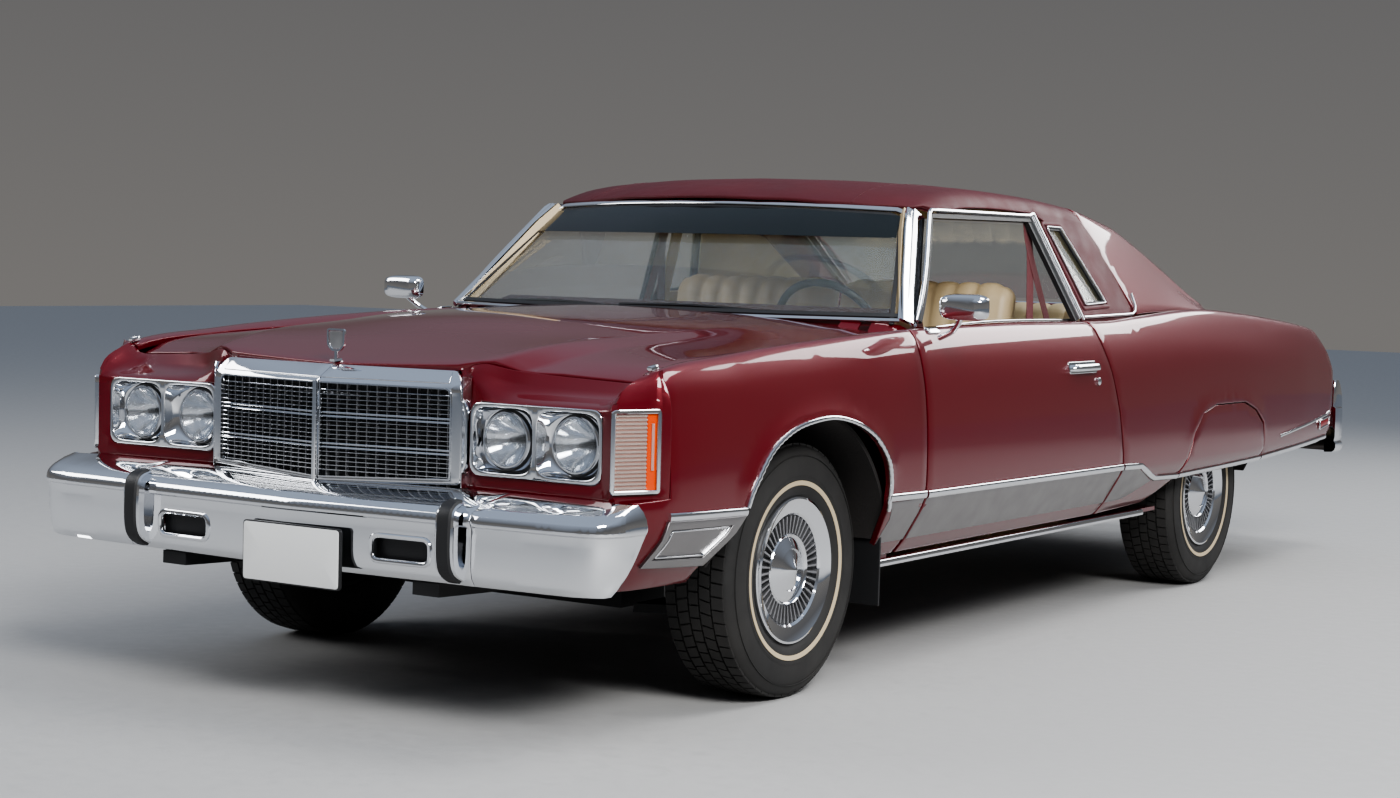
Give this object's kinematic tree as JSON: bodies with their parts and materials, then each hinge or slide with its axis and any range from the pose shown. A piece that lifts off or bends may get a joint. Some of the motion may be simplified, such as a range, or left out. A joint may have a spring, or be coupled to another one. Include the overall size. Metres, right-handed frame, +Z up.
{
  "type": "full-size two-door hardtop car",
  "caption": "Long two-door hardtop car with opening doors, hood and deck lid, steering front wheels and covered rear wheels.",
  "frame": {"origin": "on the ground under the middle of the car's overall box", "axes": "+X to the car's left, +Y to its rear, +Z up"},
  "size_m": [2.314, 5.866, 1.496],
  "materials": {
    "paint": "deep burgundy metallic gloss",
    "vinyl": "grained maroon vinyl roof covering",
    "chrome": "bright plated",
    "brushed_trim": "satin grey lower side panels",
    "clear_glass": "lightly tinted",
    "lamp_glass": "ribbed clear lens",
    "amber_lens": "amber lens",
    "red_lens": "red lens",
    "rubber": "black",
    "tyre": "black with a thin cream sidewall ring",
    "dark_metal": "dark chassis black",
    "underbody": "dark underseal",
    "cream_leather": "soft cream hide",
    "dash_trim": "dark burgundy padded trim",
    "black_plastic": "black",
    "plate": "blank white plate",
    "belt_fabric": "burgundy webbing",
    "carpet": "dark burgundy carpet"
  },
  "bodies": {
    "body": {"frame_rails": "dark_metal", "rear_frame_rails": "dark_metal", "floor_pan": "underbody", "engine_block": "dark_metal", "radiator": "dark_metal", "cowl": "paint", "hinge_pillars": "paint", "wheelhouses": "underbody", "mud_flaps": "rubber", "fender_left": "paint", "fender_right": "paint", "header_panel": "paint", "grille": "chrome", "headlamp_bezels": "chrome", "headlamps": "lamp_glass", "corner_lamps": "lamp_glass", "front_bumper": "chrome", "bumper_guards": "rubber", "number_plates": "plate", "roof": "paint", "windshield": "clear_glass", "rear_window": "clear_glass", "quarter_windows": "clear_glass", "quarter_left": "paint", "quarter_right": "paint", "wheel_skirts": "paint", "rockers": "paint", "tail_panel": "paint", "rear_deck": "paint", "tail_lamps": "red_lens", "rear_bumper": "chrome", "dashboard": "dash_trim", "front_seat": "cream_leather", "rear_seat": "cream_leather", "rear_axle": "dark_metal", "suspension": "dark_metal", "exhaust": "dark_metal", "fuel_tank": "dark_metal"},
    "door_left": {"door_left": "paint", "door_fittings_left": "chrome"},
    "door_right": {"door_right": "paint", "door_fittings_right": "chrome"},
    "hood": {"hood": "paint", "hood_ornament": "chrome"},
    "deck_lid": {"deck_lid": "paint"},
    "steering_wheel": {"steering_wheel": "black_plastic"},
    "knuckle_left": {"knuckle_left": "dark_metal"},
    "knuckle_right": {"knuckle_right": "dark_metal"},
    "wheel_front_left": {"tyre_front_left": "tyre", "wheel_front_left": "chrome"},
    "wheel_front_right": {"tyre_front_right": "tyre", "wheel_front_right": "chrome"},
    "wheel_rear_left": {"tyre_rear_left": "tyre", "wheel_rear_left": "chrome"},
    "wheel_rear_right": {"tyre_rear_right": "tyre", "wheel_rear_right": "chrome"}
  },
  "joints": [
    {"name": "door_left_swing", "type": "hinge", "parent": "body", "child": "door_left", "pos_m": [0.965, -1.178, 0.7], "axis": [0, 0, -1], "range_deg": [0, 65]},
    {"name": "door_right_swing", "type": "hinge", "parent": "body", "child": "door_right", "pos_m": [-0.965, -1.178, 0.7], "axis": [0, 0, 1], "range_deg": [0, 65]},
    {"name": "hood_lift", "type": "hinge", "parent": "body", "child": "hood", "pos_m": [0, -1.193, 0.985], "axis": [-1, 0, 0], "range_deg": [0, 42]},
    {"name": "deck_lid_lift", "type": "hinge", "parent": "body", "child": "deck_lid", "pos_m": [0, 1.61, 1.045], "axis": [1, 0, 0], "range_deg": [0, 70]},
    {"name": "steer_left", "type": "hinge", "parent": "body", "child": "knuckle_left", "pos_m": [0.755, -1.833, 0.36], "axis": [0, 0, 1], "range_deg": [-28, 28]},
    {"name": "steer_right", "type": "hinge", "parent": "body", "child": "knuckle_right", "pos_m": [-0.755, -1.833, 0.36], "axis": [0, 0, 1], "range_deg": [-28, 28]},
    {"name": "steering_wheel_turn", "type": "hinge", "parent": "body", "child": "steering_wheel", "pos_m": [0.395, -0.758, 0.985], "axis": [0, 0.8829, 0.4695], "range_deg": [-420, 420]},
    {"name": "wheel_front_left_roll", "type": "hinge", "parent": "knuckle_left", "child": "wheel_front_left", "pos_m": [0.813, -1.833, 0.36], "axis": [1, 0, 0], "continuous": true},
    {"name": "wheel_rear_left_roll", "type": "hinge", "parent": "body", "child": "wheel_rear_left", "pos_m": [0.8, 1.317, 0.36], "axis": [1, 0, 0], "continuous": true},
    {"name": "wheel_front_right_roll", "type": "hinge", "parent": "knuckle_right", "child": "wheel_front_right", "pos_m": [-0.813, -1.833, 0.36], "axis": [1, 0, 0], "continuous": true},
    {"name": "wheel_rear_right_roll", "type": "hinge", "parent": "body", "child": "wheel_rear_right", "pos_m": [-0.8, 1.317, 0.36], "axis": [1, 0, 0], "continuous": true}
  ],
  "couplings": [
    {"joint": "steer_right", "follows": "steer_left", "ratio": 1},
    {"joint": "steering_wheel_turn", "follows": "steer_left", "ratio": 15}
  ]
}
